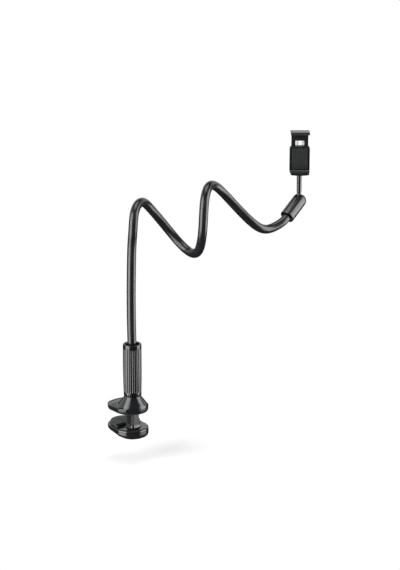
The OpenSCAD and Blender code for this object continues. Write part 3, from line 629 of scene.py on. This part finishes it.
def spring_line():
    """The wire's line for one spring: a hook on the lower pin, the coils, and one on the upper."""
    low, high = PIN_LOW + COIL_START, PIN_TOP - COIL_START
    points = [Vector((HOOK_R * math.cos(a), 0, PIN_LOW + HOOK_R * math.sin(a)))
              for a in (math.radians(d) for d in range(150, 391, 20))]
    points += [Vector((out, LEG_Y, PIN_LOW + up)) for out, up in LEG]
    for k in range(TURNS * STEPS + 1):
        a = math.tau * k / STEPS
        height = low + (high - low) * k / (TURNS * STEPS)
        points.append(Vector((COIL_R * math.cos(a), COIL_R * math.sin(a), height)))
    points += [Vector((out, LEG_Y, PIN_TOP - up)) for out, up in reversed(LEG)]
    points += [Vector((HOOK_R * math.cos(a), 0, PIN_TOP + HOOK_R * math.sin(a)))
               for a in (math.radians(d) for d in range(-30, 211, 20))]
    return points


for label, side in (("left", -1), ("right", 1)):
    axis = BALL + Vector((side * PIN_X, 0, 0))
    wire = [axis + point for point in spring_line()]
    profile = [(i, 0, WIRE_R) for i in range(len(wire))]
    profile = [(0, 0, WIRE_TIP_R)] + profile + [(len(wire) - 1, 0, WIRE_TIP_R)]
    coil = sweep(bpy.data.meshes.new("spring_" + label), wire, profile, WIRE_SIDES)
    coil.materials.append(finish["spring_wire"])
    spring = bpy.data.objects.new("spring_" + label, coil)
    bpy.context.scene.collection.objects.link(spring)
    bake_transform(spring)
    if side > 0:
        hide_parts("springs")


# Floor, background and light
def area_light(name, place, aim, wide, high, power):
    """A rectangular soft box at place, turned to face aim."""
    light = bpy.data.lights.new(name, "AREA")
    light.shape = "RECTANGLE"
    light.size, light.size_y, light.energy = wide, high, power
    holder = bpy.data.objects.new(name, light)
    holder.location = place
    holder.rotation_euler = (Vector(place) - Vector(aim)).to_track_quat("Z", "Y").to_euler()
    bpy.context.scene.collection.objects.link(holder)


# Two tall soft boxes stand left and right of the camera, and reach below the floor's level, so a
# glossy tube shows a light band on each side of a dark middle. A weaker one hangs above.
area_light("soft_box_left", (-1.44, -0.87, 0.8), (0.12, 0.03, 0.8), 1.7, 3.0, 92)
area_light("soft_box_right", (1.92, -0.05, 0.55), (0.12, 0.03, 0.55), 1.5, 2.5, 58)
area_light("soft_box_top", (0.1, 0.3, 2.1), (0.12, 0.03, 0.2), 1.2, 1.2, 14)

world = bpy.data.worlds.new("studio")
bpy.context.scene.world = world
world.use_nodes = True
sky = world.node_tree
sky.nodes.clear()
seen = add(sky, "ShaderNodeLightPath")
mirrored = add(sky, "ShaderNodeMath",
               {0: seen.outputs["Is Camera Ray"], 1: seen.outputs["Is Glossy Ray"]},
               operation="MAXIMUM").outputs[0]
clear = add(sky, "ShaderNodeMath", {0: mirrored, 1: seen.outputs["Is Transmission Ray"]},
            operation="MAXIMUM").outputs[0]
fill = add(sky, "ShaderNodeBackground", None, {"Color": (1, 1, 1, 1), "Strength": 0.3})
white = add(sky, "ShaderNodeBackground", None, {"Color": (1, 1, 1, 1), "Strength": 1.0})
both = add(sky, "ShaderNodeMixShader", {0: clear, 1: fill.outputs[0], 2: white.outputs[0]})
add(sky, "ShaderNodeOutputWorld", {"Surface": both.outputs[0]})


def stage_mesh(name, points, faces, material):
    """A flat piece of the studio."""
    mesh = bpy.data.meshes.new(name)
    mesh.from_pydata(points, [], faces)
    mesh.materials.append(material)
    piece = bpy.data.objects.new(name, mesh)
    bpy.context.scene.collection.objects.link(piece)
    return piece


def studio_paper():
    """White paper sweep: it takes the holder's shadow and fades into the white background."""
    material, tree, surface = blank("studio_paper", Roughness=0.9)
    fibre = add(tree, "ShaderNodeTexNoise", {"Vector": millimetres(tree)},
                {"Scale": 1 / 3}).outputs["Fac"]
    finish_skin(tree, surface, fibre, ("#ececec", "#f1f1f1"), fibre, (0.85, 0.95), ((fibre, 0.02),))
    away = add(tree, "ShaderNodeVectorMath", {0: add(tree, "ShaderNodeTexCoord").outputs["Object"]},
               operation="LENGTH").outputs["Value"]
    fade = add(tree, "ShaderNodeMapRange", {"Value": away}, {"From Min": 0.13, "From Max": 0.3},
               interpolation_type="SMOOTHSTEP").outputs[0]
    camera_only = add(tree, "ShaderNodeLightPath").outputs["Is Camera Ray"]
    amount = add(tree, "ShaderNodeMath", {0: fade, 1: camera_only}, operation="MULTIPLY").outputs[0]
    bare = add(tree, "ShaderNodeEmission", None, {"Color": (1, 1, 1, 1), "Strength": 1.0})
    mix = add(tree, "ShaderNodeMixShader", {0: amount, 1: surface.outputs[0], 2: bare.outputs[0]})
    tree.links.new(mix.outputs[0], tree.nodes["Material Output"].inputs["Surface"])
    return material


def disc(radius, sides, height):
    """Points of a level disc."""
    turns = [math.tau * i / sides for i in range(sides)]
    return [(radius * math.cos(a), radius * math.sin(a), height) for a in turns]


# The floor lies a little further below the jaw than the post can lower it. Reflections don't see
# it, so the foot's walls show the soft boxes.
FLOOR_R, FLOOR_SIDES, FLOOR_DROP = 0.34, 96, 0.047
floor = stage_mesh("floor", disc(FLOOR_R, FLOOR_SIDES, 0), [tuple(range(FLOOR_SIDES))],
                   studio_paper())
floor.location = (0, 0.02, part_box("lower_jaw")[0].z - FLOOR_DROP)
floor.visible_glossy = False

# Black cards stand round the set, outside the soft boxes, and above and below it. Only reflections
# see them.
card_paint = blank("black_card", Roughness=1.0)[0]
card_paint.node_tree.nodes["Principled BSDF"].inputs["Base Color"].default_value = linear("#141414")
CARD_R, CARD_LOW, CARD_SIDES = 3.6, -2.2, 60
cards = []
for name, start, stop, high in (("card_front", -32, 58, 2.2), ("card_back_right", 122, 180, 0.5),
                                ("card_back_left", 180, 272, 0.5)):
    turns = [math.radians(a) for a in range(start, stop + 1, 2)]
    points = [(CARD_R * math.sin(a), -CARD_R * math.cos(a), z)
              for a in turns for z in (CARD_LOW, high)]
    faces = [(2 * i, 2 * i + 2, 2 * i + 3, 2 * i + 1) for i in range(len(turns) - 1)]
    cards.append(stage_mesh(name, points, faces, card_paint))
for name, height in (("card_below", -1.5), ("card_above", 2.6)):
    points = disc(CARD_R, CARD_SIDES, height)
    cards.append(stage_mesh(name, points, [tuple(range(CARD_SIDES))], card_paint))
for card in cards:
    card.visible_camera = card.visible_diffuse = False
    card.visible_transmission = card.visible_shadow = False

bpy.context.scene.view_settings.view_transform = "Standard"

bpy.context.view_layer.update()
